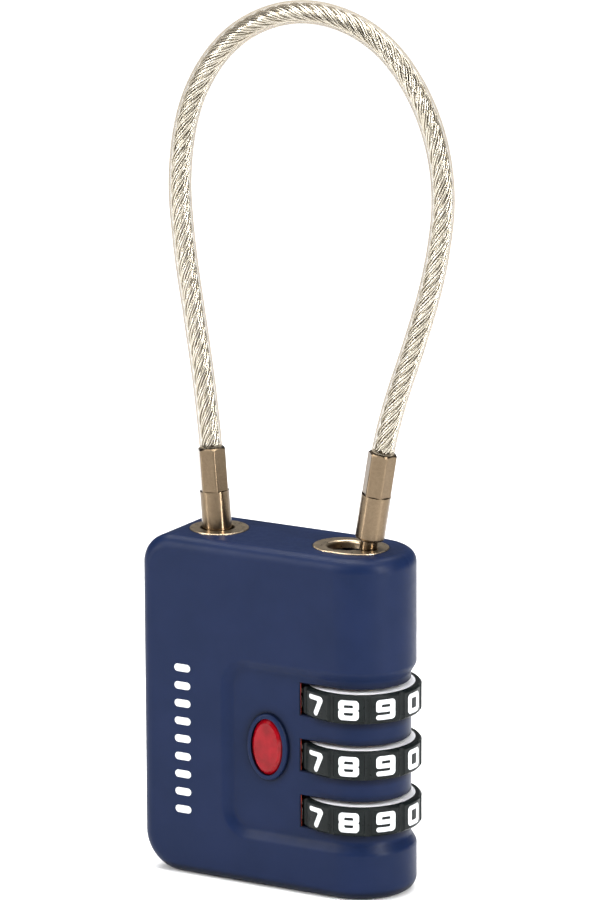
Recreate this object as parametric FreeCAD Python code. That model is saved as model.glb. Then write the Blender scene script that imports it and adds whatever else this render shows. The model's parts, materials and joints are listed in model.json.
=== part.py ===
"""Cable combination padlock for luggage.

Origin under the middle of the body.  +X towards the dial end, +Y to the back,
+Z up, millimetres.
"""
import FreeCAD
import Part
import math
import os

V = FreeCAD.Vector

# Body
LEFT = -15.5
DIAL_X = 8.9
HALF = 6.05
HEIGHT = 38.1
EDGE_FILLET = 1.45
TOP_LEFT_R = 3.4
BOTTOM_LEFT_R = 4.4
SPLIT_Y = 4.75
WALL_Y = 4.5
CAVITY_LEFT = -14.1
CAVITY_FLOOR = 1.4
CAVITY_TOP = 36.5
ROOM_RIGHT = 12.55
SPLIT_END_Y = 2.6

# Sunken band around the dials
BAND_DEPTH = 0.6
BAND_Z0 = 5.3
BAND_Z1 = 25.5
BAND_LEFT = -5.1
BAND_SLOPE = 1.05
BAND_CORNER = 3.2
BAND_SOFT = 0.7
SLOT_EDGE = 0.12

# Dials; their slots sit a little higher than the dials themselves
DIAL_Z = (9.145, 15.445, 21.745)
DIAL_R = 6.6
CORE_R = 5.9
DIAL_THICK = 3.16
RIM_CHAMFER = 0.22
FLUTE_R = 0.5
FLUTE_OUT = 0.28
BAY_HIGH = 3.55
BAY_UP = 0.16
BAY_R = 6.85
SLOT_LEFT = 4.43
DIGITS = 10

# Sleeves, spindle and reset
TUBE_R = 2.9
TUBE_BORE = 2.1
TOOTH_RING = 3.2
SHAFT_R = 1.2
TUBE_BELOW = 3.145
TUBE_ABOVE = 3.105
SPACE = 0.05
LATCH_BASE = 33.4
LEDGE_Z = 28.4
DROP = 1.3
FIN_Z0 = 0.4
FIN_Z1 = 0.9
BUTTON_R = 1.4
BUTTON_CUP_R = 2.85
BUTTON_STEP = 2.0

# Inner frame
PLATE_Y = 3.6
PLATE_THICK = 0.7
PIN_R = 0.5
PINS = ((-13.0, 4.6), (-13.0, 32.6), (0.6, 4.4), (0.6, 30.6))
SCREW_R = 0.6
SCREW_HEAD_R = 1.1
SCREWS = ((-4.6, 4.6), (-4.6, 33.4), (-13.0, 20.0))
DETENT_LEFT = 0.8
DETENT_RIGHT = 3.0
DETENT_LOW = 7.0
DETENT_HIGH = 24.2

# Top plates, ferrules and plug
STEEL_DEEP = 0.75
STEEL_PROUD = 0.1
STEEL_R = 3.25
STEEL_LEFT = 3.42
STEEL_RIGHT = 11.98
STEEL_SOFT = 0.09
HOLE_SOFT = 0.3
SWIVEL_SOFT = 0.15
SWIVEL_X = -8.9
SWIVEL_HOLE_X = -9.13
SWIVEL_HOLE_R = 1.85
SWIVEL_PIVOT_Z = 34.6
SWIVEL_LEAN = 4.36
ENTRY_X = 7.1
ENTRY_R = 2.04
NECK_X = 9.8
PLUG_TRAVEL = 2.7
PLUG_LEAN = 9.7
HEAD_Z = 36.4
NECK_R = 0.95
SLOT_R = 1.08
FERRULE_R = 1.62
HEX_ACROSS = 2.86
HEX_LONG = 4.8
HEX_SOFT = 0.35
PLUG_X = NECK_X - (HEIGHT - HEAD_Z) * math.tan(math.radians(PLUG_LEAN))

# Key cylinder
KEY_X = -9.0
KEY_R = 2.2
SHELL_R = 3.2
SHELL_TOP = 14.0
CAM_LOW = 1.9
CAM_RISE = 1.6
CAM_Z = 14.3
CAM_THICK = 1.6
CAM_ROOM_TOP = 17.2
CAM_STEPS = 12
CLIP_Z0 = 15.95
CLIP_Z1 = 16.3
WAFERS = 5
WAFER_Z = 2.6
WAFER_PITCH = 2.1

# Override slide
BAR_LEFT = -3.1
BAR_RIGHT = -1.0
SLIDE_TOP = 34.0
SLIDE_ROOM = 0.2

# Badge, an oval stone in a raised collar
BADGE_X = 0.45
BADGE_Z = 16.0
COLLAR_RX = 2.55
COLLAR_RZ = 3.75
STONE_RX = 1.98
STONE_RZ = 3.18
STONE_BEVEL = 0.45
FRONT_Y = -(HALF - BAND_DEPTH)

# Cable
JACKET_R = 1.25
ROPE_R = 1.0
ROUTE = (
    (-9.91, 47.14), (-10.3, 51.5), (-11.6, 60.2), (-13.1, 68.9), (-13.8, 77.7),
    (-11.9, 86.5), (-6.3, 93.6), (2.3, 96.7), (11.2, 94.4), (17.0, 87.5),
    (19.4, 78.9), (18.3, 70.0), (15.7, 61.6), (12.6, 53.3), (11.68, 49.09),
)


def box(x0, x1, y0, y1, z0, z1):
    return Part.makeBox(x1 - x0, y1 - y0, z1 - z0, V(x0, y0, z0))


def rod(x, y, z0, z1, r):
    return Part.makeCylinder(r, z1 - z0, V(x, y, z0))


def extrude(wire, x, y, z):
    return Part.Face(wire).extrude(V(x, y, z))


def polygon(points):
    ring = [V(*p) for p in points]
    return Part.makePolygon(ring + ring[:1])


def revolve(profile, x=0.0, y=0.0):
    """Turn a closed list of (radius, z) points round a vertical axis."""
    face = Part.Face(polygon([(x + r, y, z) for r, z in profile]))
    return face.revolve(V(x, y, 0), V(0, 0, 1), 360)


def fillet_where(shape, radius, wanted):
    edges = [e for e in shape.Edges if wanted(e)]
    return shape.makeFillet(radius, edges)


def side_outline(y):
    """Side outline with the two rounded left corners."""
    x1 = DIAL_X + 12
    z1 = HEIGHT
    a = TOP_LEFT_R
    b = BOTTOM_LEFT_R
    s = 1 - math.sqrt(0.5)
    return Part.Wire([
        Part.makeLine(V(LEFT + b, y, 0), V(x1, y, 0)),
        Part.makeLine(V(x1, y, 0), V(x1, y, z1)),
        Part.makeLine(V(x1, y, z1), V(LEFT + a, y, z1)),
        Part.Arc(V(LEFT + a, y, z1), V(LEFT + a * s, y, z1 - a * s), V(LEFT, y, z1 - a)).toShape(),
        Part.makeLine(V(LEFT, y, z1 - a), V(LEFT, y, b)),
        Part.Arc(V(LEFT, y, b), V(LEFT + b * s, y, b * s), V(LEFT + b, y, 0)).toShape(),
    ])


def rounded_block():
    """Body block whose left end is rounded in the side view and whose right end is round."""
    side = extrude(side_outline(-10), 0, 20, 0)
    plan = box(LEFT - 2, DIAL_X, -HALF, HALF, -1, HEIGHT + 1)
    plan = plan.fuse(rod(DIAL_X, 0, -1, HEIGHT + 1, HALF))
    return side.common(plan).removeSplitter()


def band_outline(step, y):
    """Outline of the band on the front, grown inwards by a step."""
    z0 = BAND_Z0 + step
    z1 = BAND_Z1 - step
    x0 = BAND_LEFT + step
    x1 = DIAL_X
    c = BAND_CORNER - step
    s = c * (1 - math.sqrt(0.5))
    return Part.Wire([
        Part.makeLine(V(x0 + c, y, z0), V(x1, y, z0)),
        Part.makeLine(V(x1, y, z0), V(x1, y, z1)),
        Part.makeLine(V(x1, y, z1), V(x0 + c, y, z1)),
        Part.Arc(V(x0 + c, y, z1), V(x0 + s, y, z1 - s), V(x0, y, z1 - c)).toShape(),
        Part.makeLine(V(x0, y, z1 - c), V(x0, y, z0 + c)),
        Part.Arc(V(x0, y, z0 + c), V(x0 + s, y, z0 + s), V(x0 + c, y, z0)).toShape(),
    ])


def band_cutter():
    """Solid that sinks the band: sloped walls that wrap round the right end."""
    d = BAND_DEPTH
    over = 0.4
    k = BAND_SLOPE / d * over
    outer = band_outline(-k, -HALF - over)
    inner = band_outline(BAND_SLOPE, -HALF + d)
    front = Part.makeLoft([outer, inner], True, True)
    back = front.mirror(V(0, 0, 0), V(0, 1, 0))
    ring = revolve([
        (HALF - d, BAND_Z0 + BAND_SLOPE), (HALF - d, BAND_Z1 - BAND_SLOPE),
        (HALF + over, BAND_Z1 + k), (HALF + over, BAND_Z0 - k)], DIAL_X)
    ring = ring.common(box(DIAL_X, DIAL_X + 8, -8, 8, 0, HEIGHT))
    return front.fuse([back, ring]).removeSplitter()


def on_band_edge(edge):
    """True for the edges where the band's sloped walls start and end."""
    levels = []
    for t in (0.1, 0.5, 0.9):
        a, b = edge.ParameterRange
        p = edge.valueAt(a + (b - a) * t)
        if p.z < BAND_Z0 - 0.1 or p.z > BAND_Z1 + 0.1 or p.x < BAND_LEFT - 0.1:
            return False
        levels.append(abs(p.y) if p.x < DIAL_X + 1e-4 else math.hypot(p.x - DIAL_X, p.y))
    flat = max(levels) - min(levels) < 1e-3
    on_face = abs(levels[0] - HALF) < 1e-3 or abs(levels[0] - HALF + BAND_DEPTH) < 1e-3
    seam = abs(edge.BoundBox.XMin - DIAL_X) < 1e-3 and edge.BoundBox.XLength < 1e-3
    return flat and on_face and not seam


def body_block():
    block = rounded_block()
    block = fillet_where(block, EDGE_FILLET, lambda e: True)
    block = block.cut(band_cutter()).removeSplitter()
    block = fillet_where(block, BAND_SOFT, on_band_edge)
    for k in range(3):
        block = block.cut(bay(k))
    return block.makeChamfer(SLOT_EDGE, [e for e in block.Edges if on_slot_edge(e)])


def on_slot_edge(edge):
    """True for the outer edges of the dial slots."""
    outer = HALF - BAND_DEPTH
    a, b = edge.ParameterRange
    levels = []
    for t in (0.1, 0.5, 0.9):
        p = edge.valueAt(a + (b - a) * t)
        if p.z < DIAL_Z[0] - BAY_HIGH or p.z > DIAL_Z[2] + BAY_HIGH:
            return False
        levels.append(abs(p.y) if p.x < DIAL_X + 1e-4 else math.hypot(p.x - DIAL_X, p.y))
    on_skin = max(abs(v - outer) for v in levels) < 1e-3
    seam = abs(edge.BoundBox.XMin - DIAL_X) < 1e-3 and edge.BoundBox.XLength < 1e-3
    return on_skin and not seam and edge.BoundBox.XMin > SLOT_LEFT - 1e-3


def bay(k):
    """Space for one dial, open at the front, right and back."""
    low = DIAL_Z[k] + BAY_UP - BAY_HIGH / 2
    slot = box(SLOT_LEFT, DIAL_X + 8, -8, 8, low, low + BAY_HIGH)
    return rod(DIAL_X, 0, low, low + BAY_HIGH, BAY_R).fuse(slot)


def chassis_room(gap, y0, y1):
    """Inside room of the housing, or the chassis outline with a gap all round."""
    x0 = CAVITY_LEFT + gap
    z0 = CAVITY_FLOOR + gap
    z1 = CAVITY_TOP - gap
    body = box(x0, DIAL_X, y0, y1, z0, z1).fuse(rod(DIAL_X, 0, z0, z1, WALL_Y - gap))
    keep = box(x0, ROOM_RIGHT - gap, y0, y1, z0, z1)
    room = body.common(keep).removeSplitter()
    a = TOP_LEFT_R - (CAVITY_LEFT - LEFT)
    corners = fillet_where(room, a, lambda e: is_y_edge(e, x0))
    return corners


def is_y_edge(edge, x):
    if len(edge.Vertexes) < 2:
        return False
    p, q = edge.Vertexes[0].Point, edge.Vertexes[1].Point
    return abs(p.x - x) < 1e-6 and abs(q.x - x) < 1e-6 and abs(p.z - q.z) < 1e-6


def cover_prism(gap):
    """Outline of the back cover, set into the back face."""
    x0 = LEFT + 1.2 - gap
    z0 = 1.2 - gap
    z1 = HEIGHT - 1.2 + gap
    blank = box(x0, DIAL_X + 7, SPLIT_Y, 8, z0, z1)
    blank = fillet_where(blank, 3.0, lambda e: is_y_edge(e, x0))
    return blank.fuse(box(DIAL_X - gap, DIAL_X + 7, SPLIT_END_Y - gap, 8, z0, z1)).removeSplitter()


def top_opening():
    """Plug slot through the top wall and its pocket for the steel plate."""
    slot = stadium(ENTRY_X - 2.5, NECK_X + 1.9, 2.3, CAVITY_TOP - 1, HEIGHT - 0.5)
    pocket = stadium(STEEL_LEFT - 0.02, STEEL_RIGHT + 0.02, STEEL_R + 0.02, HEIGHT - STEEL_DEEP, HEIGHT + 1)
    return slot.fuse(pocket)


def stadium(x0, x1, r, z0, z1):
    mid = box(x0 + r, x1 - r, -r, r, z0, z1)
    return mid.fuse([rod(x0 + r, 0, z0, z1, r), rod(x1 - r, 0, z0, z1, r)]).removeSplitter()


def swivel_opening():
    hole = rod(SWIVEL_X, 0, CAVITY_TOP - 1, HEIGHT, 2.5)
    pocket = rod(SWIVEL_X, 0, HEIGHT - STEEL_DEEP, HEIGHT + 1, STEEL_R + 0.02)
    return hole.fuse(pocket)


def front_housing(block):
    shell = block.cut(chassis_room(0, -WALL_Y, SPLIT_Y + 0.01))
    shell = shell.cut(cover_prism(0.05))
    shell = shell.cut(top_opening())
    shell = shell.cut(swivel_opening())
    shell = shell.cut(rod(KEY_X, 0, -1, 2, SHELL_R + 0.05))
    shell = shell.cut(rod(DIAL_X, 0, -1, 2, 1.5))
    shell = shell.cut(badge_seat(0.02))
    return shell


def back_cover(block):
    cover = block.common(cover_prism(0))
    cover = cover.cut(chassis_room(0, -WALL_Y, SPLIT_Y))
    for x, z in PINS:
        cover = cover.cut(peg(x, z, SPLIT_Y - 0.1, SPLIT_Y + 0.6, PIN_R))
    return cover


def peg(x, z, y0, y1, r):
    return Part.makeCylinder(r, y1 - y0, V(x, y0, z), V(0, 1, 0))


def cover_pins():
    return [peg(x, z, 1.4, SPLIT_Y + 0.6, PIN_R) for x, z in PINS]


def chassis():
    c = chassis_room(0.05, -WALL_Y + 0.05, PLATE_Y)
    for k in range(3):
        c = c.cut(bay(k))
    c = c.cut(box(DETENT_LEFT, DETENT_RIGHT, -3.6, 3.3, DETENT_LOW, DETENT_HIGH))
    # Key cylinder bore and cam room
    c = c.cut(rod(KEY_X, 0, 0, SHELL_TOP + 0.1, SHELL_R))
    c = c.cut(rod(KEY_X, 0, SHELL_TOP + 0.1, CAM_ROOM_TOP, 3.6))
    # Swivel room
    c = c.cut(rod(SWIVEL_X, 0, 31.4, 37, 2.6))
    # Sleeve and spindle bores, spring rooms
    c = c.cut(rod(DIAL_X, 0, 0, LEDGE_Z, TUBE_R + SPACE))
    c = c.cut(rod(DIAL_X, 0, LEDGE_Z - 1, LATCH_BASE, SHAFT_R + 0.06))
    c = c.cut(rod(DIAL_X, 0, LEDGE_Z + 0.8, 32, 2.6))
    # Latch channel
    c = c.cut(stadium(ENTRY_X - 2.5, NECK_X + 1.9, 2.2, 31.9, 37))
    # Override slide room, open to the back
    top = SLIDE_TOP + SLIDE_ROOM
    left = BAR_LEFT - SLIDE_ROOM
    c = c.cut(box(-7.4, 1.6, -0.9, PLATE_Y + 1, CAM_Z - 0.1, 16.6))
    c = c.cut(box(left, 0.8, -0.9, PLATE_Y + 1, CAM_Z - 0.1, top))
    c = c.cut(box(left, 5.4, -0.9, PLATE_Y + 1, 32.5, top))
    for x, z in PINS:
        c = c.cut(peg(x, z, 1.4, PLATE_Y + 1, PIN_R))
    for x, z in SCREWS:
        c = c.cut(peg(x, z, 0.8, PLATE_Y + 1, SCREW_R))
    return c.removeSplitter()


def chassis_plate():
    p = chassis_room(0.1, PLATE_Y, PLATE_Y + PLATE_THICK)
    p = p.common(box(LEFT, DIAL_X + 0.8, 0, 6, 0, HEIGHT))
    for k in range(3):
        p = p.cut(bay(k))
    p = p.cut(box(DETENT_LEFT, DETENT_RIGHT, -3.6, 4.4, DETENT_LOW, DETENT_HIGH))
    for x, z in PINS:
        p = p.cut(peg(x, z, PLATE_Y - 1, PLATE_Y + 1, PIN_R + SPACE))
    for x, z in SCREWS:
        p = p.cut(peg(x, z, PLATE_Y - 1, PLATE_Y + 1, SCREW_R + SPACE))
    return p.removeSplitter()


def chassis_screws():
    screws = []
    for x, z in SCREWS:
        shank = peg(x, z, 0.8, PLATE_Y + PLATE_THICK, SCREW_R)
        head = peg(x, z, PLATE_Y + PLATE_THICK, PLATE_Y + 1.1, SCREW_HEAD_R)
        screw = shank.fuse(head)
        screw = screw.cut(box(x - 0.8, x + 0.8, PLATE_Y + 0.9, PLATE_Y + 2, z - 0.13, z + 0.13))
        screws.append(screw.removeSplitter())
    return screws


def swivel_plate():
    """Round plate with the ferrule's hole, its edges softened."""
    disc = rod(SWIVEL_X, 0, HEIGHT - STEEL_DEEP, HEIGHT + STEEL_PROUD, STEEL_R)
    disc = fillet_where(disc, STEEL_SOFT, on_plate_top)
    disc = disc.cut(rod(SWIVEL_HOLE_X, 0, HEIGHT - 1, HEIGHT + 1, SWIVEL_HOLE_R))
    return fillet_where(disc, SWIVEL_SOFT, lambda e: on_hole_edge(e, SWIVEL_HOLE_R))


def on_plate_top(edge):
    return edge.BoundBox.ZMin > HEIGHT + STEEL_PROUD - 0.01


def on_hole_edge(edge, radius):
    """True for the top edges of a plate that lie within a hole's width."""
    return on_plate_top(edge) and edge.BoundBox.YLength < 2 * radius + 0.1


def keyhole_plate():
    """Plate with a round entry that narrows to the slot that holds the plug's neck."""
    plate = stadium(STEEL_LEFT, STEEL_RIGHT, STEEL_R, HEIGHT - STEEL_DEEP, HEIGHT + STEEL_PROUD)
    plate = fillet_where(plate, STEEL_SOFT, on_plate_top)
    end = NECK_X - 0.05
    keyhole = rod(ENTRY_X, 0, HEIGHT - 1, HEIGHT + 1, ENTRY_R)
    keyhole = keyhole.fuse(box(ENTRY_X, end, -SLOT_R, SLOT_R, HEIGHT - 1, HEIGHT + 1))
    keyhole = keyhole.fuse(rod(end, 0, HEIGHT - 1, HEIGHT + 1, SLOT_R))
    plate = plate.cut(keyhole.removeSplitter()).removeSplitter()
    return fillet_where(plate, HOLE_SOFT, lambda e: on_hole_edge(e, ENTRY_R))


def lean(shape, x, z, degrees):
    """Tip a shape about the Y axis through (x, z); positive leans the top to +X."""
    shape = shape.copy()
    shape.rotate(V(x, 0, z), V(0, 1, 0), degrees)
    return shape


def ferrule(x, low, step, top, turn):
    """Crimped sleeve: round barrel below, its upper half pressed to six flats."""
    r = FERRULE_R
    barrel = revolve([
        (0, low), (r - 0.4, low), (r - 0.05, low + 0.22), (r, low + 0.4), (r, step), (0, step)], x)
    corner = HEX_ACROSS / math.sqrt(3)
    ring = []
    for k in range(6):
        a = math.radians(60 * k + turn)
        ring.append((x + corner * math.cos(a), corner * math.sin(a), step - 0.01))
    crimp = extrude(polygon(ring), 0, 0, top - step + 0.01)
    crimp = fillet_where(crimp, HEX_SOFT, lambda e: e.BoundBox.ZLength > 1)
    crimp = crimp.common(revolve([
        (0, step - 1), (r, step - 1), (r, top - 0.22), (r - 0.25, top), (0, top)], x))
    return barrel.fuse(crimp).removeSplitter()


def fixed_ferrule():
    top = SWIVEL_PIVOT_Z + 12.5
    f = ferrule(SWIVEL_X, 37.0, top - HEX_LONG, top, 10)
    f = f.cut(rod(SWIVEL_X, 0, 36, 39.6, 0.9))
    return lean(f, SWIVEL_X, SWIVEL_PIVOT_Z, -SWIVEL_LEAN)


def swivel_pin():
    ball = Part.makeSphere(2.1, V(SWIVEL_X, 0, SWIVEL_PIVOT_Z))
    ball = ball.common(box(SWIVEL_X - 3, SWIVEL_X + 3, -3, 3, SWIVEL_PIVOT_Z - 1.6, SWIVEL_PIVOT_Z + 2))
    neck = rod(SWIVEL_X, 0, SWIVEL_PIVOT_Z, 39.6, 0.9)
    neck = neck.fuse(rod(SWIVEL_X, 0, SWIVEL_PIVOT_Z, 37.0, 1.3))
    return lean(ball.fuse(neck).removeSplitter(), SWIVEL_X, SWIVEL_PIVOT_Z, -SWIVEL_LEAN)


def plug_ferrule():
    top = HEAD_Z + 12.78
    f = ferrule(PLUG_X, 39.25, top - HEX_LONG, top, 16)
    f = f.cut(rod(PLUG_X, 0, 38, 42.0, NECK_R))
    return lean(f, PLUG_X, HEAD_Z, PLUG_LEAN)


def plug_pin():
    pin = revolve([
        (0, HEAD_Z - 0.6), (1.2, HEAD_Z - 0.6), (1.85, HEAD_Z - 0.25), (1.85, HEAD_Z + 0.25),
        (1.15, HEAD_Z + 0.6), (NECK_R, HEAD_Z + 0.6), (NECK_R, 42.0), (0, 42.0)], PLUG_X)
    return lean(pin, PLUG_X, HEAD_Z, PLUG_LEAN)


def latch():
    slope = DROP / PLUG_TRAVEL
    top = HEIGHT - 0.9
    at = 8.216
    z_at = 35.94
    ramp_top = at - (top - z_at) / slope
    profile = polygon([
        (4.8, -1.9, LATCH_BASE), (9.9, -1.9, LATCH_BASE),
        (9.9, -1.9, z_at - slope * (9.9 - at)), (ramp_top, -1.9, top), (4.8, -1.9, top)])
    wedge = extrude(profile, 0, 3.8, 0)
    wedge = wedge.common(stadium(ENTRY_X - 2.4, NECK_X + 1.8, 2.1, LATCH_BASE, top))
    return wedge.cut(rod(DIAL_X, 0, LATCH_BASE - 1, LATCH_BASE + 1.0, 0.8)).removeSplitter()


def spindle():
    shaft = rod(DIAL_X, 0, 5.7, LATCH_BASE, SHAFT_R)
    shaft = shaft.fuse(rod(DIAL_X, 0, LATCH_BASE, LATCH_BASE + 1.0, 0.8))
    for z in DIAL_Z:
        shaft = shaft.fuse(box(DIAL_X - TUBE_BORE + 0.15, DIAL_X, -0.35, 0.35, z + FIN_Z0, z + FIN_Z1))
    groove = rod(DIAL_X, 0, LEDGE_Z - 0.45, LEDGE_Z - 0.1, 3).cut(rod(DIAL_X, 0, 20, 30, 0.9))
    return shaft.cut(groove).removeSplitter()


def spindle_clip():
    ring = rod(DIAL_X, 0, LEDGE_Z - 0.42, LEDGE_Z - 0.13, 1.9)
    ring = ring.cut(rod(DIAL_X, 0, LEDGE_Z - 1, LEDGE_Z, 0.9))
    return ring.cut(box(DIAL_X, DIAL_X + 3, -0.75, 0.75, LEDGE_Z - 1, LEDGE_Z))


def coil(x, low, high, mean, wire, turns):
    """Compression spring with its ends inside the given heights."""
    pitch = (high - low - 2 * wire) / turns
    path = Part.makeHelix(pitch, high - low - 2 * wire, mean)
    ring = Part.Wire(Part.makeCircle(wire, V(mean, 0, 0), V(0, 1, 0)))
    spring = Part.Wire(path.Edges).makePipeShell([ring], True, True)
    spring.translate(V(x, 0, low + wire))
    return spring


def code_sleeve(k):
    z = DIAL_Z[k]
    tube = rod(DIAL_X, 0, z - TUBE_BELOW, z + TUBE_ABOVE, TUBE_R)
    flange = rod(DIAL_X, 0, z - 1.5, z - 0.5, TOOTH_RING + 0.05)
    teeth = [rod(*spoke(TOOTH_RING, n, 0), z - 1.5, z - 0.5, 0.4) for n in range(DIGITS)]
    s = tube.fuse([flange] + teeth).removeSplitter()
    s = s.cut(rod(DIAL_X, 0, z - 4, z - 0.3, TUBE_BORE))
    s = s.cut(rod(DIAL_X, 0, z + 0.3, z + 4, TUBE_BORE))
    s = s.cut(rod(DIAL_X, 0, z - 1, z + 1, SHAFT_R + 0.1))
    return s.cut(box(DIAL_X - TUBE_BORE + 0.02, DIAL_X, -0.45, 0.45, z - 1, z + 1))


def spoke(radius, n, offset):
    a = math.radians(360.0 / DIGITS * n + offset)
    return DIAL_X + radius * math.cos(a), radius * math.sin(a)


def dial_core(k):
    z = DIAL_Z[k]
    low = z - DIAL_THICK / 2 + SPACE
    c = rod(DIAL_X, 0, low, z + DIAL_THICK / 2, CORE_R)
    c = c.cut(rod(DIAL_X, 0, low - 1, low + 0.6, TUBE_R + 0.1))
    c = c.cut(rod(DIAL_X, 0, low - 1, z, TOOTH_RING + 0.1))
    notches = [rod(*spoke(TOOTH_RING, n, 0), low - 1, z, 0.45) for n in range(DIGITS)]
    c = c.cut(notches[0].fuse(notches[1:]))
    return c.cut(rod(DIAL_X, 0, z - 0.45, z + 3, 3.7)).removeSplitter()


def number_ring(k):
    """Black rim: ten digit faces parted by shallow flutes, with soft edges."""
    z = DIAL_Z[k]
    h = DIAL_THICK / 2
    c = RIM_CHAMFER
    rim = revolve([
        (CORE_R, z - h), (DIAL_R - c, z - h), (DIAL_R, z - h + c),
        (DIAL_R, z + h - c), (DIAL_R - c, z + h), (CORE_R, z + h)], DIAL_X)
    for n in range(DIGITS):
        rim = rim.cut(rod(*spoke(DIAL_R + FLUTE_OUT, n, 180 / DIGITS), z - 3, z + 3, FLUTE_R))
    return rim


def detent_spring():
    """Leaf comb: one strip with three bent fingers reaching to the dial rims."""
    strip = box(1.0, 1.2, -3.3, -2.3, 7.6, 23.4)
    parts = []
    for z in DIAL_Z:
        finger = polygon([
            (1.0, -2.5, z - 1.1), (1.2, -2.5, z - 1.1), (2.28, -0.3, z - 1.1), (2.28, 0.3, z - 1.1),
            (1.5, 2.2, z - 1.1), (1.3, 2.2, z - 1.1), (2.08, 0.3, z - 1.1), (2.08, -0.3, z - 1.1)])
        parts.append(extrude(finger, 0, 0, 2.2))
    return strip.fuse(parts).removeSplitter()


def reset_button():
    """Pin under the body that widens to a cup below the stacked sleeves."""
    top = DIAL_Z[0] - TUBE_BELOW - SPACE
    return revolve([
        (0, 0.35), (BUTTON_R - 0.2, 0.35), (BUTTON_R, 0.55), (BUTTON_R, BUTTON_STEP),
        (BUTTON_CUP_R, BUTTON_STEP), (BUTTON_CUP_R, top), (TUBE_BORE, top),
        (TUBE_BORE, BUTTON_STEP + 1), (0, BUTTON_STEP + 1)], DIAL_X)


def key_cylinder_shell():
    shell = rod(KEY_X, 0, 0.2, SHELL_TOP, SHELL_R)
    shell = shell.cut(rod(KEY_X, 0, 0, SHELL_TOP + 1, KEY_R + SPACE))
    return fillet_where(shell, 0.15, lambda e: e.BoundBox.ZMax < 0.3 and e.BoundBox.XLength > 6)


def wafer_z(n):
    return WAFER_Z + WAFER_PITCH * n


def key_plug():
    plug = rod(KEY_X, 0, 0.3, SHELL_TOP + 0.2, KEY_R)
    plug = plug.fuse(rod(KEY_X, 0, SHELL_TOP + 0.2, 16.6, 1.0))
    plug = plug.cut(box(KEY_X - 0.4, KEY_X + 0.4, -1.5, 1.5, 0, 12.6))
    for n in range(WAFERS):
        z = wafer_z(n)
        plug = plug.cut(box(KEY_X - 0.8, KEY_X + 0.8, -3, 3, z - 0.3, z + 0.3))
    groove = rod(KEY_X, 0, CLIP_Z0, CLIP_Z1, 2).cut(rod(KEY_X, 0, 15, 17, 0.75))
    return plug.cut(groove)


def key_wafers():
    wafers = []
    for n in range(WAFERS):
        z = wafer_z(n)
        w = box(KEY_X - 0.75, KEY_X + 0.75, -1.95, 1.95, z - 0.25, z + 0.25)
        wafers.append(w.cut(box(KEY_X - 0.45, KEY_X + 0.45, -1.2, 1.2, z - 1, z + 1)))
    return wafers


def key_cam():
    """Cam rising steadily over the quarter turn that the slide follows."""
    points = []
    for n in range(CAM_STEPS + 1):
        f = n / CAM_STEPS
        a = math.radians(-90 * f)
        r = CAM_LOW + CAM_RISE * f
        points.append(V(KEY_X + r * math.cos(a), r * math.sin(a), CAM_Z))
    spiral = Part.BSplineCurve()
    spiral.interpolate(points)
    low_side = V(KEY_X - CAM_LOW, 0, CAM_Z)
    arc = Part.Arc(low_side, V(KEY_X, CAM_LOW, CAM_Z), points[0]).toShape()
    step = V(KEY_X - 0.9, points[-1].y, CAM_Z)
    wire = Part.Wire([
        spiral.toShape(), Part.makeLine(points[-1], step), Part.makeLine(step, low_side), arc])
    cam = extrude(wire, 0, 0, CAM_THICK)
    return cam.cut(rod(KEY_X, 0, CAM_Z - 1, CAM_Z + 3, 1.0))


def cam_clip():
    ring = rod(KEY_X, 0, CLIP_Z0 + 0.03, CLIP_Z1 - 0.03, 1.6)
    ring = ring.cut(rod(KEY_X, 0, 15, 17, 0.75))
    return ring.cut(box(KEY_X - 3, KEY_X, -0.6, 0.6, 15, 17))


def override_slide():
    """Flat slide: nose on the cam, upright bar, arm towards the latch."""
    x = KEY_X + CAM_LOW + 0.12
    thick = 1.5
    foot = box(x + 0.6, 0.0, -0.8, 0.8, CAM_Z, CAM_Z + thick)
    nose = extrude(polygon([
        (x, -0.05, CAM_Z), (x + 0.6, -0.5, CAM_Z), (x + 0.8, -0.5, CAM_Z), (x + 0.8, 0.5, CAM_Z),
        (x + 0.6, 0.5, CAM_Z), (x, 0.05, CAM_Z)]), 0, 0, thick)
    bar = box(BAR_LEFT, BAR_RIGHT, -0.8, 0.8, CAM_Z, SLIDE_TOP)
    arm = box(BAR_LEFT, 2.6, -0.8, 0.8, SLIDE_TOP - 1.4, SLIDE_TOP)
    return foot.fuse([nose, bar, arm]).removeSplitter()


def oval(rx, rz, y0, y1):
    curve = Part.Ellipse(V(BADGE_X, y0, BADGE_Z + rz), V(BADGE_X + rx, y0, BADGE_Z), V(BADGE_X, y0, BADGE_Z))
    return extrude(Part.Wire(curve.toShape()), 0, y1 - y0, 0)


def badge_seat(gap):
    return oval(COLLAR_RX + gap, COLLAR_RZ + gap, FRONT_Y - 1, FRONT_Y + 0.4)


def badge_collar():
    collar = oval(COLLAR_RX, COLLAR_RZ, FRONT_Y - 0.45, FRONT_Y + 0.38)
    collar = fillet_where(collar, 0.25, lambda e: e.BoundBox.YMax < FRONT_Y - 0.4)
    return collar.cut(oval(STONE_RX + 0.02, STONE_RZ + 0.02, FRONT_Y - 1, FRONT_Y + 0.1))


def badge():
    stone = oval(STONE_RX, STONE_RZ, FRONT_Y - 0.6, FRONT_Y + 0.1)
    return stone.makeChamfer(STONE_BEVEL, [e for e in stone.Edges if e.BoundBox.YMax < FRONT_Y - 0.5])


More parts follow.
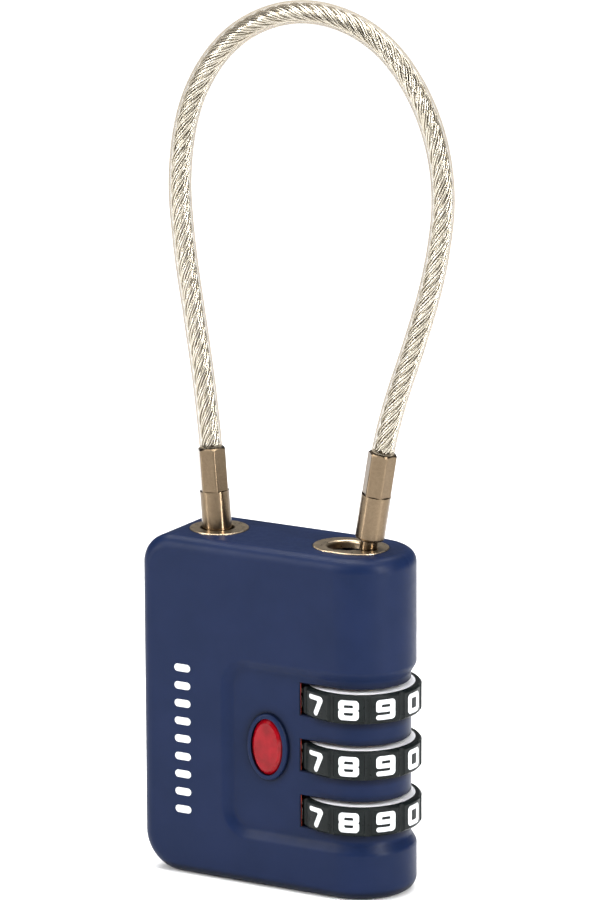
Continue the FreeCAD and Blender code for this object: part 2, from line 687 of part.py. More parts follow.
def cable_path():
    """Straight runs joined by tangent arcs."""
    pts = [V(x, 0, z) for x, z in ROUTE]
    edges = []
    here = pts[0]
    for a, b, c in zip(pts, pts[1:], pts[2:]):
        back = (a - b).normalize()
        ahead = (c - b).normalize()
        reach = 0.45 * min((a - b).Length, (c - b).Length)
        start = b + back * reach
        end = b + ahead * reach
        half = (math.pi - back.getAngle(ahead)) / 2
        radius = reach / math.tan(half)
        toward = (back + ahead).normalize()
        mid = b + toward * (radius / math.cos(half) - radius)
        edges.append(Part.LineSegment(here, start).toShape())
        edges.append(Part.Arc(start, mid, end).toShape())
        here = end
    edges.append(Part.LineSegment(here, pts[-1]).toShape())
    return Part.Wire(edges)


def along_cable(radius):
    path = cable_path()
    start = V(ROUTE[0][0], 0, ROUTE[0][1])
    ahead = V(ROUTE[1][0], 0, ROUTE[1][1]) - start
    ring = Part.Wire(Part.makeCircle(radius, start, ahead))
    return path.makePipeShell([ring], True, False)


def wire_rope():
    return along_cable(ROPE_R)


def cable_jacket():
    return along_cable(JACKET_R).cut(along_cable(ROPE_R + 0.02))


def main():
    os.makedirs("parts", exist_ok=True)
    block = body_block()
    made = {
        "front_housing": front_housing(block),
        "back_cover": back_cover(block),
        "cover_pins": Part.makeCompound(cover_pins()),
        "chassis": chassis(),
        "chassis_plate": chassis_plate(),
        "chassis_screws": Part.makeCompound(chassis_screws()),
        "swivel_plate": swivel_plate(),
        "keyhole_plate": keyhole_plate(),
        "fixed_ferrule": fixed_ferrule(),
        "swivel_pin": swivel_pin(),
        "plug_ferrule": plug_ferrule(),
        "plug_pin": plug_pin(),
        "latch": latch(),
        "spindle": spindle(),
        "spindle_clip": spindle_clip(),
        "spindle_spring": coil(DIAL_X, LEDGE_Z + 0.82, LATCH_BASE - 0.02, 1.85, 0.17, 5),
        "reset_spring": coil(DIAL_X, DIAL_Z[2] + TUBE_ABOVE + 0.02, LEDGE_Z - 0.02, 2.5, 0.15, 4),
        "reset_button": reset_button(),
        "detent_spring": detent_spring(),
        "key_cylinder_shell": key_cylinder_shell(),
        "key_plug": key_plug(),
        "key_wafers": Part.makeCompound(key_wafers()),
        "key_cam": key_cam(),
        "cam_clip": cam_clip(),
        "override_slide": override_slide(),
        "badge_collar": badge_collar(),
        "badge": badge(),
        "wire_rope": wire_rope(),
        "cable_jacket": cable_jacket(),
    }
    for k in range(3):
        made["number_ring_%d" % (k + 1)] = number_ring(k)
        made["dial_core_%d" % (k + 1)] = dial_core(k)
        made["code_sleeve_%d" % (k + 1)] = code_sleeve(k)
    for name, shape in made.items():
        shape.exportStep("parts/%s.step" % name)
        print("%-20s solids %d valid %s volume %.1f" % (
            name, len(shape.Solids), shape.isValid(), shape.Volume))
    print("cord radii", JACKET_R, ROPE_R, "length", round(cable_path().Length, 1))


main()
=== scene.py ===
"""Cable combination padlock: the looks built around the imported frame.  Metres, +Z up."""
import json
import math

import bpy
import numpy as np
from mathutils import Matrix, Vector
from mathutils.geometry import delaunay_2d_cdt


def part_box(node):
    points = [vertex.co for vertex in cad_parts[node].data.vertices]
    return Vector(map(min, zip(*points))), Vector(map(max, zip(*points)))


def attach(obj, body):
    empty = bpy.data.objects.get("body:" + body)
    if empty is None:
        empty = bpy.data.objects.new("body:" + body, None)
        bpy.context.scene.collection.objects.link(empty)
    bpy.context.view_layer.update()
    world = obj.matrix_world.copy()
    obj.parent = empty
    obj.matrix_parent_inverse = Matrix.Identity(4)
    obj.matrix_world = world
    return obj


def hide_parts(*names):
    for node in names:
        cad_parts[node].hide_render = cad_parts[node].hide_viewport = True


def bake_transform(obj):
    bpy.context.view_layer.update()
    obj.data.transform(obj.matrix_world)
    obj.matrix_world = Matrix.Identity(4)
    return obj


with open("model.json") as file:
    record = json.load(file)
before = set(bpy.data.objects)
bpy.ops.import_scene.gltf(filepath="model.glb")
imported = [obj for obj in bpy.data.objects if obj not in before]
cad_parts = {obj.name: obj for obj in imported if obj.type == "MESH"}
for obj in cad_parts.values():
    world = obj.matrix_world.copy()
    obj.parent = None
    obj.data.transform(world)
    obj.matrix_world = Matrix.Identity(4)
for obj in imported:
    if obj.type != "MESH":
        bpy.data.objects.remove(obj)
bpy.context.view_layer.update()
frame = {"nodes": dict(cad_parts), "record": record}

MM = 0.001
DIALS = 3
DIGITS = 10

# Places read from the frame
RING_LOW, RING_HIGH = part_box("number_ring_1")
DIAL_AXIS_X = (RING_LOW.x + RING_HIGH.x) / 2
DIAL_RADIUS = (RING_HIGH.x - RING_LOW.x) / 2
BODY_FRONT_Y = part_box("front_housing")[0].y


# Camera ---------------------------------------------------------------------

# Angles in degrees, lens and sensor in millimetres, the shift as a part of the picture
TARGET = Vector((0.82, 0.0, 48.0)) * MM
CAMERA_AZIMUTH = 30.54
CAMERA_ELEVATION = 13.72
CAMERA_DISTANCE = 678.7 * MM
CAMERA_LENS = 251.3
CAMERA_ROLL = -0.27
CAMERA_CLIP = 10.0 * MM
SENSOR_WIDTH = 36.0
FRAME_SHIFT = 0.0048


def turned_back_along(direction):
    """The turn of a camera or a lamp that looks against the given direction."""
    return direction.to_track_quat("Z", "Y").to_matrix().to_4x4()


def make_camera():
    """The picture's view: a long lens a little to the right and a little above."""
    a, e = math.radians(CAMERA_AZIMUTH), math.radians(CAMERA_ELEVATION)
    back = Vector((math.sin(a) * math.cos(e), -math.cos(a) * math.cos(e), math.sin(e)))
    data = bpy.data.cameras.new("camera")
    data.lens = CAMERA_LENS
    data.sensor_width = SENSOR_WIDTH
    data.shift_x = FRAME_SHIFT
    data.clip_start = CAMERA_CLIP
    camera = bpy.data.objects.new("camera", data)
    place = Matrix.Translation(TARGET + back * CAMERA_DISTANCE)
    roll = Matrix.Rotation(math.radians(CAMERA_ROLL), 4, "Z")
    camera.matrix_world = place @ turned_back_along(back) @ roll
    bpy.context.collection.objects.link(camera)
    bpy.context.scene.camera = camera


# Meshes ---------------------------------------------------------------------

def piece_from(name, vertices, faces, smooth=True):
    """A linked mesh object; faces are lists of corner numbers."""
    mesh = bpy.data.meshes.new(name)
    corners = [tuple(map(float, v)) for v in vertices]
    mesh.from_pydata(corners, [], [list(map(int, f)) for f in faces])
    mesh.update()
    if smooth:
        mesh.shade_smooth()
    else:
        mesh.shade_flat()
    piece = bpy.data.objects.new(name, mesh)
    bpy.context.collection.objects.link(piece)
    return piece


# Cable ----------------------------------------------------------------------

# Control points of the centreline, as X and Z in millimetres
ROUTE = (
    (-9.91, 47.14), (-10.3, 51.5), (-11.6, 60.2), (-13.1, 68.9), (-13.8, 77.7),
    (-11.9, 86.5), (-6.3, 93.6), (2.3, 96.7), (11.2, 94.4), (17.0, 87.5),
    (19.4, 78.9), (18.3, 70.0), (15.7, 61.6), (12.6, 53.3), (11.68, 49.09),
)
ROUTE_ORDER = 3
ROUTE_STEPS = 24
JACKET_RADIUS = 1.25 * MM
JACKET_SIDES = 32
CORE_RADIUS = 0.5 * MM
CORE_SIDES = 12
STRANDS = 6
WIRES = 5
WIRE_RADIUS = 0.112 * MM
WIRE_SIDES = 8
STRAND_RING = 0.70 * MM
WIRE_RING = 0.22 * MM
ROPE_LAY = 9.0 * MM
STRAND_LAY = -20.0 * MM


def route_points():
    """Points along the smooth centreline of the cable."""
    curve = bpy.data.curves.new("route", "CURVE")
    curve.dimensions = "3D"
    curve.resolution_u = ROUTE_STEPS
    spline = curve.splines.new("NURBS")
    spline.points.add(len(ROUTE) - 1)
    for point, (x, z) in zip(spline.points, ROUTE):
        point.co = (x * MM, 0.0, z * MM, 1.0)
    spline.order_u = ROUTE_ORDER
    spline.use_endpoint_u = True
    line = bpy.data.objects.new("route", curve)
    bpy.context.collection.objects.link(line)
    bpy.context.view_layer.update()
    mesh = bpy.data.meshes.new_from_object(line)
    points = np.array([v.co for v in mesh.vertices])
    bpy.data.objects.remove(line)
    bpy.data.meshes.remove(mesh)
    return points


def unit(rows):
    """Each row scaled to length one."""
    return rows / np.linalg.norm(rows, axis=1)[:, None]


def heading(points):
    """The unit direction of a path at each of its points."""
    return unit(np.gradient(points, axis=0))


def path_lengths(points):
    """The length of a path from its start to each of its points."""
    steps = np.linalg.norm(np.diff(points, axis=0), axis=1)
    return np.concatenate(([0.0], np.cumsum(steps)))


def cross_directions(points):
    """The two directions square to a path in the XZ plane: along +Y, and in the plane."""
    side = np.tile((0.0, 1.0, 0.0), (len(points), 1))
    return side, np.cross(heading(points), side)


def swung(u, v, turns):
    """The direction u of each row, swung towards v by a number of turns."""
    angle = (2 * math.pi * turns)[:, None]
    return np.cos(angle) * u + np.sin(angle) * v


def tube_grid(centre, u, v, radius, sides):
    """Rings of points round a line, with the cross directions u and v."""
    angles = np.arange(sides)[None, :, None] * 2 * math.pi / sides
    ring = np.cos(angles) * u[:, None, :] + np.sin(angles) * v[:, None, :]
    return (centre[:, None, :] + ring * radius).reshape(-1, 3)


def tube_faces(rings, sides, first=0):
    """Faces between the rings and over both ends; first is the number of the first corner."""
    faces = []
    for i in range(rings - 1):
        a, b = first + i * sides, first + (i + 1) * sides
        for k in range(sides):
            n = (k + 1) % sides
            faces.append((a + k, a + n, b + n, b + k))
    last = first + (rings - 1) * sides
    faces.append(tuple(first + k for k in reversed(range(sides))))
    faces.append(tuple(last + k for k in range(sides)))
    return faces


def make_tube(name, points, radius, sides):
    grid = tube_grid(points, *cross_directions(points), radius, sides)
    return piece_from(name, grid, tube_faces(len(points), sides))


def make_wires(points):
    """Right-hand laid strands, each a ring of wires; their hidden middle wires are left out."""
    length = path_lengths(points)
    side, up = cross_directions(points)
    vertices, faces = [], []
    for s in range(STRANDS):
        out = swung(side, up, length / ROPE_LAY + s / STRANDS)
        centre = points + out * STRAND_RING
        across = np.cross(heading(centre), out)
        for w in range(WIRES):
            ray = swung(out, across, length / STRAND_LAY + w / WIRES)
            line = centre + ray * WIRE_RING
            ahead = heading(line)
            u = unit(ray - np.sum(ray * ahead, axis=1)[:, None] * ahead)
            faces.extend(tube_faces(len(points), WIRE_SIDES, len(vertices)))
            vertices.extend(tube_grid(line, u, np.cross(ahead, u), WIRE_RADIUS, WIRE_SIDES))
    return piece_from("rope_wires", vertices, faces)


def make_cable():
    """The clear cover and the rope in it, bent from the body to the plug."""
    points = route_points()
    jacket = make_tube("cable_cover", points, JACKET_RADIUS, JACKET_SIDES)
    wires = make_wires(points)
    core = make_tube("rope_core", points, CORE_RADIUS, CORE_SIDES)
    for piece in (jacket, wires, core):
        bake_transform(piece)
    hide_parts("cable_jacket")
    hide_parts("wire_rope")
    return jacket, wires, core


# Materials ------------------------------------------------------------------

# The part of the noise's range that is spread over the full change of a look
TINT_FROM, TINT_TO = 0.35, 0.65
POLISH_FROM, POLISH_TO = 0.3, 0.7

# Painted shade in the hollows of the plastic: how far the hollows reach, how open they are, how
# dark the painted shade gets
PAINTED_SHADE_REACH = 1.2 * MM
PAINTED_SHADE_CLOSED = 0.78
PAINTED_SHADE_OPEN = 0.98
PAINTED_SHADE_DEPTH = 0.40
PAINTED_SHADE_SAMPLES = 8

# Walls at the left ends of the dial slots: X, its tolerance, the least X of their normal
SLOT_LEFT = 4.43 * MM
SLOT_NEAR = 0.03 * MM
SLOT_FACING = 0.95
SLOT_WALL_COLOUR = (0.40, 0.06, 0.03)

# Clear cover: the facing where it starts and stops to thicken, and its alpha there
COVER_FROM, COVER_TO = 0.15, 0.70
COVER_THIN, COVER_THICK = 0.04, 0.75

METAL_GRAIN = 0.2 * MM
FINE_HEIGHT = 0.003 * MM


def shader_of(material):
    return material.node_tree.nodes["Principled BSDF"]


def new_material(name, color, roughness, metallic=0.0, **sockets):
    """A material with constants on its shader; an underscore in a socket's name is a space."""
    material = bpy.data.materials.new(name)
    material.use_nodes = True
    shader = shader_of(material)
    shader.inputs["Base Color"].default_value = (*color, 1.0)
    shader.inputs["Roughness"].default_value = roughness
    shader.inputs["Metallic"].default_value = metallic
    for socket, value in sockets.items():
        shader.inputs[socket.replace("_", " ")].default_value = value
    return material


def pattern(material, size, detail=3.0):
    """Noise whose features are about size metres."""
    nodes, links = material.node_tree.nodes, material.node_tree.links
    place = nodes.new("ShaderNodeTexCoord")
    scale = nodes.new("ShaderNodeMapping")
    scale.inputs["Scale"].default_value = (1 / size, 1 / size, 1 / size)
    noise = nodes.new("ShaderNodeTexNoise")
    noise.inputs["Scale"].default_value = 1.0
    noise.inputs["Detail"].default_value = detail
    links.new(place.outputs["Object"], scale.inputs["Vector"])
    links.new(scale.outputs["Vector"], noise.inputs["Vector"])
    return noise.outputs["Fac"]


def spread(material, amount, start, end, low, high):
    """An amount from start to end, turned into a value from low to high."""
    nodes, links = material.node_tree.nodes, material.node_tree.links
    change = nodes.new("ShaderNodeMapRange")
    change.inputs["From Min"].default_value = start
    change.inputs["From Max"].default_value = end
    change.inputs["To Min"].default_value = low
    change.inputs["To Max"].default_value = high
    links.new(amount, change.inputs["Value"])
    return change.outputs["Result"]


def tint(material, amount, dark, light):
    """Base colour that wanders between two tones."""
    nodes, links = material.node_tree.nodes, material.node_tree.links
    ramp = nodes.new("ShaderNodeValToRGB")
    first, last = ramp.color_ramp.elements
    first.position, first.color = TINT_FROM, (*dark, 1.0)
    last.position, last.color = TINT_TO, (*light, 1.0)
    links.new(amount, ramp.inputs["Fac"])
    links.new(ramp.outputs["Color"], shader_of(material).inputs["Base Color"])


def polish(material, amount, low, high):
    """Roughness that wanders between two values."""
    roughness = spread(material, amount, POLISH_FROM, POLISH_TO, low, high)
    material.node_tree.links.new(roughness, shader_of(material).inputs["Roughness"])


def relief(material, amount, height):
    """Bump of the given height in metres."""
    nodes, links = material.node_tree.nodes, material.node_tree.links
    bump = nodes.new("ShaderNodeBump")
    bump.inputs["Distance"].default_value = height
    bump.inputs["Strength"].default_value = 1.0
    links.new(amount, bump.inputs["Height"])
    links.new(bump.outputs["Normal"], shader_of(material).inputs["Normal"])


def mix_over_base(material, blend_type):
    """A mix whose first colour is what the base colour was, and whose result it becomes."""
    nodes, links = material.node_tree.nodes, material.node_tree.links
    base = shader_of(material).inputs["Base Color"]
    mix = nodes.new("ShaderNodeMix")
    mix.data_type = "RGBA"
    mix.blend_type = blend_type
    links.new(base.links[0].from_socket, mix.inputs["A"])
    links.new(mix.outputs["Result"], base)
    return mix


def paint_hollow_shade(material):
    """Painted shade: the base colour is darkened in hollows and along inner corners."""
    nodes, links = material.node_tree.nodes, material.node_tree.links
    openness = nodes.new("ShaderNodeAmbientOcclusion")
    openness.samples = PAINTED_SHADE_SAMPLES
    openness.inputs["Distance"].default_value = PAINTED_SHADE_REACH
    shade = spread(
        material, openness.outputs["AO"], PAINTED_SHADE_CLOSED, PAINTED_SHADE_OPEN, PAINTED_SHADE_DEPTH, 1.0)
    mix = mix_over_base(material, "MULTIPLY")
    mix.inputs["Factor"].default_value = 1.0
    links.new(shade, mix.inputs["B"])


def colour_slot_walls(material):
    """Red-brown on the walls that face right at the left ends of the dial slots."""
    nodes, links = material.node_tree.nodes, material.node_tree.links
    surface = nodes.new("ShaderNodeNewGeometry")
    facing = nodes.new("ShaderNodeSeparateXYZ")
    place = nodes.new("ShaderNodeTexCoord")
    spot = nodes.new("ShaderNodeSeparateXYZ")
    faces_right = nodes.new("ShaderNodeMath")
    faces_right.operation = "GREATER_THAN"
    faces_right.inputs[1].default_value = SLOT_FACING
    at_slot = nodes.new("ShaderNodeMath")
    at_slot.operation = "COMPARE"
    at_slot.inputs[1].default_value = SLOT_LEFT
    at_slot.inputs[2].default_value = SLOT_NEAR
    both = nodes.new("ShaderNodeMath")
    both.operation = "MULTIPLY"
    mix = mix_over_base(material, "MIX")
    mix.inputs["B"].default_value = (*SLOT_WALL_COLOUR, 1.0)
    links.new(surface.outputs["True Normal"], facing.inputs["Vector"])
    links.new(place.outputs["Object"], spot.inputs["Vector"])
    links.new(facing.outputs["X"], faces_right.inputs[0])
    links.new(spot.outputs["X"], at_slot.inputs[0])
    links.new(faces_right.outputs["Value"], both.inputs[0])
    links.new(at_slot.outputs["Value"], both.inputs[1])
    links.new(both.outputs["Value"], mix.inputs["Factor"])


def housing_plastic():
    m = new_material("housing_plastic", (0.013, 0.022, 0.062), 0.38, Specular_IOR_Level=0.09)
    tint(m, pattern(m, 4 * MM), (0.0049, 0.0112, 0.0375), (0.0062, 0.0128, 0.0425))
    polish(m, pattern(m, 0.8 * MM), 0.34, 0.42)
    relief(m, pattern(m, 0.3 * MM, 0.0), 0.0010 * MM)
    # Painted shade in the hollows, multiplied into the base colour
    paint_hollow_shade(m)
    colour_slot_walls(m)
    return m


def warm_nickel():
    """Satin plate whose highlights are drawn out one way."""
    m = new_material(
        "warm_nickel", (0.30, 0.225, 0.145), 0.3, 1.0,
        Anisotropic=0.85, Anisotropic_Rotation=0.25)
    tint(m, pattern(m, 0.3 * MM), (0.146, 0.106, 0.067), (0.166, 0.122, 0.078))
    polish(m, pattern(m, 0.8 * MM), 0.20, 0.24)
    relief(m, pattern(m, 0.8 * MM, 0.0), 0.0002 * MM)
    return m


def plate_nickel():
    m = new_material("plate_nickel", (0.40, 0.31, 0.21), 0.3, 1.0)
    tint(m, pattern(m, 0.6 * MM), (0.40, 0.31, 0.205), (0.47, 0.37, 0.25))
    polish(m, pattern(m, 0.4 * MM), 0.26, 0.36)
    relief(m, pattern(m, 0.25 * MM, 1.0), 0.0008 * MM)
    return m


def plain_metal(name, dark, light, low, high):
    m = new_material(name, light, low, 1.0)
    tint(m, pattern(m, 2 * MM), dark, light)
    polish(m, pattern(m, METAL_GRAIN), low, high)
    relief(m, pattern(m, METAL_GRAIN, 2.0), FINE_HEIGHT)
    return m


def moulded(name, dark, light, low, high, specular=0.5):
    m = new_material(name, light, low, Specular_IOR_Level=specular)
    tint(m, pattern(m, 1.2 * MM), dark, light)
    polish(m, pattern(m, 0.3 * MM), low, high)
    relief(m, pattern(m, 0.08 * MM, 2.0), FINE_HEIGHT)
    return m


def red_stone():
    m = new_material("red_stone", (0.30, 0.01, 0.02), 0.16, Specular_IOR_Level=0.2)
    tint(m, pattern(m, 1.5 * MM), (0.15, 0.0005, 0.003), (0.24, 0.001, 0.006))
    relief(m, pattern(m, 0.5 * MM, 1.0), 0.002 * MM)
    return m


def bright_wire():
    m = new_material("bright_wire", (0.52, 0.47, 0.38), 0.28, 1.0)
    tint(m, pattern(m, 2.0 * MM), (0.50, 0.46, 0.38), (0.60, 0.56, 0.48))
    polish(m, pattern(m, 0.8 * MM), 0.16, 0.22)
    relief(m, pattern(m, 0.8 * MM, 1.0), 0.001 * MM)
    return m


def painted_shade_core():
    """Core that shows between the strands; its near-black colour is painted shade for the gaps
    between them.
    """
    m = new_material("painted_shade_core", (0.05, 0.04, 0.03), 0.5)
    tint(m, pattern(m, 0.5 * MM), (0.05, 0.038, 0.026), (0.09, 0.07, 0.05))
    return m


def clear_vinyl():
    """Thin clear cover: see-through face on, beige towards its edges."""
    m = new_material("clear_vinyl", (0.31, 0.265, 0.20), 0.25, Specular_IOR_Level=0.06)
    facing = m.node_tree.nodes.new("ShaderNodeLayerWeight")
    facing.inputs["Blend"].default_value = 0.5
    alpha = spread(
        m, facing.outputs["Facing"], COVER_FROM, COVER_TO, COVER_THIN, COVER_THICK)
    m.node_tree.links.new(alpha, shader_of(m).inputs["Alpha"])
    relief(m, pattern(m, 1.0 * MM, 1.0), 0.01 * MM)
    return m


def make_materials():
    """The materials by their slot in the record, and the extra ones of the looks."""
    return {
        "housing": housing_plastic(),
        "badge": red_stone(),
        "steel": plain_metal(
            "ground_steel", (0.42, 0.42, 0.43), (0.55, 0.55, 0.56), 0.25, 0.42),
        "zinc": moulded(
            "cast_frame", (0.16, 0.035, 0.025), (0.24, 0.055, 0.04), 0.35, 0.50),
        "nickel": warm_nickel(),
        "spring_steel": plain_metal(
            "spring_steel", (0.36, 0.36, 0.37), (0.50, 0.50, 0.50), 0.22, 0.38),
        "button": moulded(
            "button_plastic", (0.020, 0.024, 0.030), (0.030, 0.035, 0.042), 0.40, 0.55),
        "brass": plain_metal(
            "turned_brass", (0.50, 0.36, 0.14), (0.66, 0.50, 0.22), 0.22, 0.38),
        "dial_black": moulded(
            "dial_black", (0.0028, 0.0046, 0.0046), (0.005, 0.0072, 0.0072), 0.26, 0.38,
            specular=0.13),
        "dial_white": moulded(
            "dial_white", (0.80, 0.80, 0.83), (0.88, 0.88, 0.90), 0.38, 0.50),
        "rope": bright_wire(),
        # The core's near-black colour is painted shade between the strands
        "core": painted_shade_core(),
        "jacket": clear_vinyl(),
        "print": moulded(
            "white_print", (0.66, 0.69, 0.70), (0.71, 0.73, 0.74), 0.35, 0.48,
            specular=0.3),
        "plate": plate_nickel(),
    }


def paint(piece, material):
    """The same material in every slot of a piece."""
    if piece.data.materials:
        for slot in piece.material_slots:
            slot.material = material
    else:
        piece.data.materials.append(material)


PLATE_LOOKS = {"swivel_plate": "plate", "keyhole_plate": "plate"}


def paint_nodes(materials):
    """Each CAD node takes the material of its slot in the record; the two plates have their own."""
    for part in frame["record"]["subparts"]:
        look = PLATE_LOOKS.get(part["node"], part["material_slot"])
        paint(frame["nodes"][part["node"]], materials[look])


# Numbers and marks ----------------------------------------------------------

# Flat prints are drawn in millimetres.  The sizes of the pen and of a digit are half sizes, a
# digit's to the middle of its lines; the room is the most of an edge that one corner rounds
PEN_WIDE = 0.312
PEN_HIGH = 0.258
WIDE = 0.818
HIGH = 0.847
OUTER_ROUND = 0.42
INNER_ROUND = 0.15
ROUND_STEPS = 5
CORNER_ROOM = 0.48
GLYPHS = {
    0: [((WIDE, 0), (WIDE, HIGH), (-WIDE, HIGH), (-WIDE, 0)),
        ((-WIDE, 0), (-WIDE, -HIGH), (WIDE, -HIGH), (WIDE, 0))],
    1: [((-0.30, HIGH), (0.25, HIGH), (0.25, -HIGH))],
    2: [((-WIDE, HIGH), (WIDE, HIGH), (WIDE, 0), (-WIDE, 0), (-WIDE, -HIGH), (WIDE, -HIGH))],
    3: [((-WIDE, HIGH), (WIDE, HIGH), (WIDE, -HIGH), (-WIDE, -HIGH)), ((-0.35, 0), (WIDE, 0))],
    4: [((-WIDE, HIGH), (-WIDE, -0.1), (WIDE, -0.1)), ((WIDE, HIGH), (WIDE, -HIGH))],
    5: [((WIDE, HIGH), (-WIDE, HIGH), (-WIDE, 0), (WIDE, 0), (WIDE, -HIGH), (-WIDE, -HIGH))],
    6: [((WIDE, HIGH), (-WIDE, HIGH), (-WIDE, -HIGH), (WIDE, -HIGH), (WIDE, 0)),
        ((WIDE, 0), (-WIDE, 0))],
    7: [((-WIDE, HIGH), (WIDE, HIGH), (0, -HIGH))],
    8: [((WIDE, 0.2), (WIDE, HIGH), (-WIDE, HIGH), (-WIDE, 0.2)),
        ((-WIDE, -0.2), (-WIDE, -HIGH), (WIDE, -HIGH), (WIDE, -0.2)),
        ((-0.72, 0), (0.72, 0))],
    9: [((-WIDE, -HIGH), (WIDE, -HIGH), (WIDE, HIGH), (-WIDE, HIGH), (-WIDE, 0)),
        ((-WIDE, 0), (WIDE, 0))],
}

# For the triangles: keep what is inside the outlines, and join points nearer than this
FILL_INSIDE = 1
FILL_NEAR = 1e-6


def pen_outline(line, wide, high):
    """Outline of a line drawn with a flat-ended pen of the given half width and half height."""
    points = [Vector(p) for p in line]
    ways = [(b - a).normalized() for a, b in zip(points, points[1:])]
    points[0] = points[0] - ways[0] * math.hypot(ways[0].x * wide, ways[0].y * high)
    points[-1] = points[-1] + ways[-1] * math.hypot(ways[-1].x * wide, ways[-1].y * high)
    outs = [Vector((-w.y, w.x)) * math.hypot(w.x * high, w.y * wide) for w in ways]
    right, left = [], []
    for edge, sign in ((right, -1), (left, 1)):
        edge.append(points[0] + outs[0] * sign)
        for i in range(1, len(ways)):
            a, b = points[i] + outs[i - 1] * sign, points[i] + outs[i] * sign
            turn = ways[i - 1].cross(ways[i])
            edge.append(a + ways[i - 1] * (b - a).cross(ways[i]) / turn)
        edge.append(points[-1] + outs[-1] * sign)
    return right + left[::-1]


def rounded_loop(points, outer, inner):
    """A closed outline, run anticlockwise, with its outer and inner corners rounded."""
    loop = []
    for before, corner, after in zip(points[-1:] + points[:-1], points, points[1:] + points[:1]):
        a, b = before - corner, after - corner
        room = CORNER_ROOM * min(a.length, b.length)
        a, b = a.normalized(), b.normalized()
        half = a.angle(b) / 2
        wanted = outer if b.cross(a) > 0 else inner
        radius = min(wanted, room * math.tan(half))
        middle = corner + (a + b).normalized() * radius / math.sin(half)
        start = corner + a * radius / math.tan(half) - middle
        end = corner + b * radius / math.tan(half) - middle
        for k in range(ROUND_STEPS + 1):
            loop.append(middle + start.lerp(end, k / ROUND_STEPS).normalized() * radius)
    return loop


def divided(loop, step):
    """The same closed outline with no edge longer than a step."""
    fine = []
    for a, b in zip(loop, loop[1:] + loop[:1]):
        parts = math.ceil((b - a).length / step)
        fine.extend(a.lerp(b, k / parts) for k in range(parts))
    return fine


def fill_shape(outlines, step):
    """Triangles of the joined outlines, with extra points at a regular step so that they bend."""
    points, loops = [], []
    for outline in outlines:
        outline = divided(outline, step)
        loops.append(list(range(len(points), len(points) + len(outline))))
        points.extend(outline)
    low = Vector((min(p.x for p in points), min(p.y for p in points)))
    high = Vector((max(p.x for p in points), max(p.y for p in points)))
    columns = math.ceil((high.x - low.x) / step)
    rows = math.ceil((high.y - low.y) / step)
    for i in range(1, columns):
        for j in range(1, rows):
            points.append(Vector((low.x + i * step, low.y + j * step)))
    filled = delaunay_2d_cdt(points, [], loops, FILL_INSIDE, FILL_NEAR)
    vertices, faces, sources = filled[0], filled[2], filled[5]
    return vertices, [f for f, source in zip(faces, sources) if source]


def add_print(vertices, faces, shape, top, bottom):
    """Adds the closed solid between two placings of one flat shape."""
    flat, inside = shape
    first, n = len(vertices), len(flat)
    solid = [tuple(f) for f in inside] + [tuple(n + i for i in reversed(f)) for f in inside]
    used = {(a, b) for f in inside for a, b in zip(f, list(f[1:]) + [f[0]])}
    solid += [(b, a, n + a, n + b) for a, b in used if (b, a) not in used]
    vertices += [top(p) for p in flat] + [bottom(p) for p in flat]
    faces += [tuple(first + i for i in f) for f in solid]


def make_print(name, vertices, faces, material, body):
    """A printed piece that moves with a body."""
    piece = piece_from(name, vertices, faces, smooth=False)
    paint(piece, material)
    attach(piece, body)


PRINT_STEP = 0.22
PRINT_PROUD = 0.01 * MM
PRINT_DEPTH = 0.10 * MM


def digit_shape(digit):
    strokes = [pen_outline(line, PEN_WIDE, PEN_HIGH) for line in GLYPHS[digit]]
    return fill_shape([rounded_loop(s, OUTER_ROUND, INNER_ROUND) for s in strokes], PRINT_STEP)


def on_rim(point, angle, z, radius):
    """A flat print point wrapped on the rim, upright, read from outside."""
    a = angle + point.x * MM / DIAL_RADIUS
    return (DIAL_AXIS_X + radius * math.cos(a), radius * math.sin(a), z + point.y * MM)


def make_numbers(k, material):
    """The ten raised numbers of one dial."""
    low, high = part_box(f"number_ring_{k}")
    z = (low.z + high.z) / 2
    vertices, faces = [], []
    for digit in range(DIGITS):
        angle = math.radians(360 / DIGITS * digit)
        add_print(
            vertices, faces, digit_shape(digit),
            lambda p: on_rim(p, angle, z, DIAL_RADIUS + PRINT_PROUD),
            lambda p: on_rim(p, angle, z, DIAL_RADIUS - PRINT_DEPTH))
    make_print(f"numbers_{k}", vertices, faces, material, f"dial_{k}")


MARK_X = -10.1 * MM
MARK_Z = 15.5 * MM
MARK_COLUMN = 16.9
MARK_WIDE = 2.0
MARK_BARS = 9
MARK_PEN = 0.42
MARK_STEP = 1.0


def on_front(point, y):
    """A flat print point placed among the marks on the front."""
    return (MARK_X + point.x * MM, y, MARK_Z + point.y * MM)


def make_marks(material):
    """A column of plain rounded bars printed on the front."""
    vertices, faces = [], []
    pitch = (MARK_COLUMN - 2 * MARK_PEN) / (MARK_BARS - 1)
    half = MARK_WIDE / 2 - MARK_PEN
    for n in range(MARK_BARS):
        up = -MARK_COLUMN / 2 + MARK_PEN + n * pitch
        bar = pen_outline([(-half, up), (half, up)], MARK_PEN, MARK_PEN)
        add_print(
            vertices, faces, fill_shape([rounded_loop(bar, MARK_PEN, MARK_PEN)], MARK_STEP),
            lambda p: on_front(p, BODY_FRONT_Y - PRINT_PROUD),
            lambda p: on_front(p, BODY_FRONT_Y + PRINT_DEPTH))
    make_print("front_marks", vertices, faces, material, "case")


# Studio ---------------------------------------------------------------------

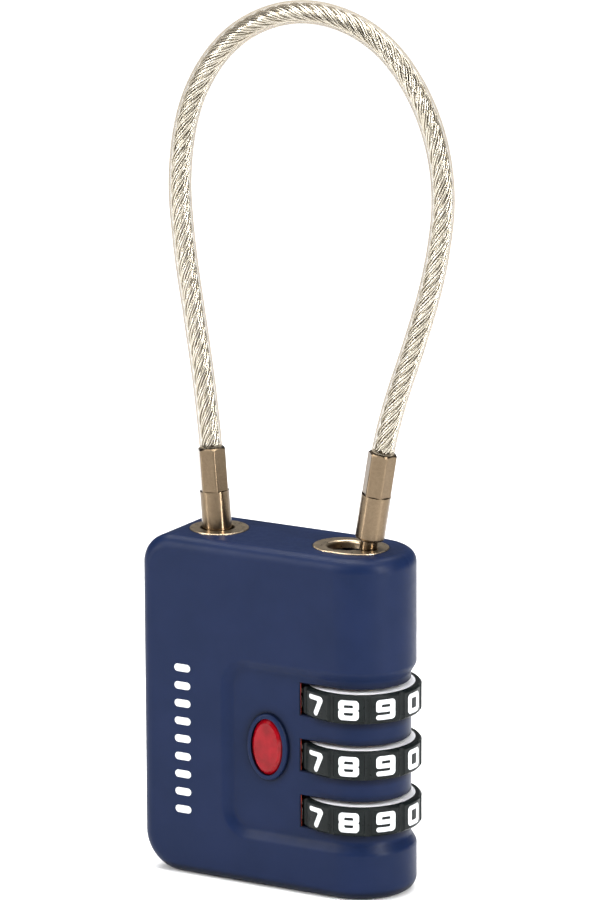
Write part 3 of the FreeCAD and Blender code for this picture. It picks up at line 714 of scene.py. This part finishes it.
FLOOR_HALF = 3.0
FLOOR_GRAIN = 0.05
FLOOR_DARK = (0.915, 0.915, 0.915)
FLOOR_MIDDLE = (0.92, 0.92, 0.92)
FLOOR_LIGHT = (0.925, 0.925, 0.925)
FLOOR_ROUGHNESS = 0.8
WORLD_COLOUR = (0.96, 0.97, 1.0, 1.0)
WORLD_STRENGTH = 0.16

# Name, place, width and height in metres, and power in watts
LAMPS = (
    ("bank", (-0.06, -0.04, 0.46), 0.44, 0.36, 0.9),
    ("edge_strip", (0.0, 0.01, 0.44), 0.60, 0.04, 1.1),
    ("far_wash", (-0.25, 0.45, 1.4), 1.2, 1.2, 22.0),
    ("front_fill", (-0.20, -0.60, 0.45), 0.50, 0.50, 1.55),
    ("right_strip", (0.37, -0.09, 0.20), 0.05, 0.38, 2.4),
    ("left_strip", (-0.26, -0.30, 0.20), 0.045, 0.40, 1.5),
)


def make_floor():
    half = FLOOR_HALF
    corners = [(-half, -half, 0), (half, -half, 0), (half, half, 0), (-half, half, 0)]
    floor = piece_from("floor", corners, [(0, 1, 2, 3)], smooth=False)
    m = new_material("pale_floor", FLOOR_MIDDLE, FLOOR_ROUGHNESS)
    tint(m, pattern(m, FLOOR_GRAIN), FLOOR_DARK, FLOOR_LIGHT)
    paint(floor, m)


def make_lamp(name, place, wide, high, power):
    """A rectangular lamp, turned to the middle of the lock."""
    data = bpy.data.lights.new(name, "AREA")
    data.shape = "RECTANGLE"
    data.size = wide
    data.size_y = high
    data.energy = power
    lamp = bpy.data.objects.new(name, data)
    turn = turned_back_along(Vector(place) - TARGET)
    lamp.matrix_world = Matrix.Translation(place) @ turn
    bpy.context.collection.objects.link(lamp)


def make_lights():
    for lamp in LAMPS:
        make_lamp(*lamp)
    world = bpy.data.worlds.new("studio")
    bpy.context.scene.world = world
    world.use_nodes = True
    back = world.node_tree.nodes["Background"]
    back.inputs["Color"].default_value = WORLD_COLOUR
    back.inputs["Strength"].default_value = WORLD_STRENGTH
    bpy.context.scene.view_settings.view_transform = "Standard"


# The lock -------------------------------------------------------------------

make_camera()
jacket, wires, core = make_cable()
materials = make_materials()
paint(jacket, materials["jacket"])
paint(wires, materials["rope"])
paint(core, materials["core"])
paint_nodes(materials)
for k in range(1, DIALS + 1):
    make_numbers(k, materials["print"])
make_marks(materials["print"])
make_floor()
make_lights()
